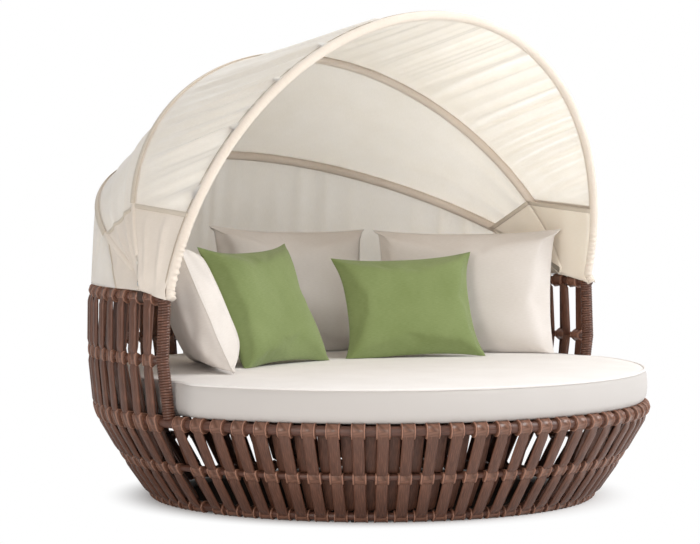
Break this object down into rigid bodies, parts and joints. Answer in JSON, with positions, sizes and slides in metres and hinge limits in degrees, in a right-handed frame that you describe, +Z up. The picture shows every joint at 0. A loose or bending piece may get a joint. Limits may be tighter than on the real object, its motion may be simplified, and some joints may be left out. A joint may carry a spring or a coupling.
{
  "type": "outdoor daybed with canopy",
  "caption": "Round outdoor daybed: laced cane barrel base and back wall, round seat mattress, loose cushions, and a folding fabric canopy on bent hoops.",
  "frame": {"origin": "on the floor under the middle of the whole daybed's box", "axes": "+Z up, -Y towards the open front of the seat, +X to the right of someone who looks at the front"},
  "size_m": [1.8452, 1.824, 1.5581],
  "materials": {
    "cane": "flat extruded resin cane, fine lengthwise grooves, satin",
    "steel": "dark brown powder coat",
    "rubber": "moulded",
    "hoop": "cream powder coat",
    "bolt": "stainless",
    "nylon": "moulded",
    "canopy": "plain woven outdoor cloth",
    "seat": "plain woven outdoor cloth, piped seams",
    "cushion": "plain woven outdoor cloth",
    "pillow": "plain woven green cloth"
  },
  "bodies": {
    "frame": {"back_cushion_left": "cushion", "back_cushion_right": "cushion", "back_weave_1": "cane", "back_weave_2": "cane", "back_weave_3": "cane", "back_weave_4": "cane", "back_weave_5": "cane", "back_weave_6": "cane", "back_weave_7": "cane", "back_weave_8": "cane", "base_mid_ring": "steel", "base_ring": "steel", "deck_beam": "steel", "deck_slat_1": "steel", "deck_slat_2": "steel", "deck_slat_3": "steel", "deck_slat_4": "steel", "deck_slat_5": "steel", "foot_1": "rubber", "foot_2": "rubber", "foot_3": "rubber", "foot_4": "rubber", "foot_5": "rubber", "foot_6": "rubber", "front_weave_1": "cane", "front_weave_2": "cane", "front_weave_3": "cane", "front_weave_4": "cane", "front_weave_5": "cane", "green_pillow_lumbar": "pillow", "green_pillow_square": "pillow", "left_pivot_bolt": "bolt", "left_pivot_bracket": "hoop", "left_pivot_spacer": "nylon", "left_post": "cane", "right_pivot_bolt": "bolt", "right_pivot_bracket": "hoop", "right_pivot_spacer": "nylon", "right_post": "cane", "seat_mattress": "seat", "seat_rim": "steel", "side_cushion": "cushion", "top_rail": "steel", "wall_mid_rail": "steel"},
    "rear_hoop_body": {"rear_hoop": "hoop", "canopy_rear_panel": "canopy"},
    "mid_hoop_body": {"mid_hoop": "hoop", "canopy_mid_panel": "canopy"},
    "front_hoop_body": {"front_hoop": "hoop", "canopy_front_panel": "canopy"}
  },
  "joints": [
    {"name": "rear_hoop_hinge", "type": "hinge", "parent": "frame", "child": "rear_hoop_body", "pos_m": [0, -0.00118, 0.712], "axis": [-1, 0, 0], "range_deg": [0, 15], "deforming": ["canopy_rear_panel"]},
    {"name": "mid_hoop_hinge", "type": "hinge", "parent": "rear_hoop_body", "child": "mid_hoop_body", "pos_m": [0, -0.00118, 0.712], "axis": [-1, 0, 0], "range_deg": [0, 20], "deforming": ["canopy_mid_panel"]},
    {"name": "front_hoop_hinge", "type": "hinge", "parent": "mid_hoop_body", "child": "front_hoop_body", "pos_m": [0, -0.00118, 0.712], "axis": [-1, 0, 0], "range_deg": [0, 46], "deforming": ["canopy_front_panel"]}
  ]
}
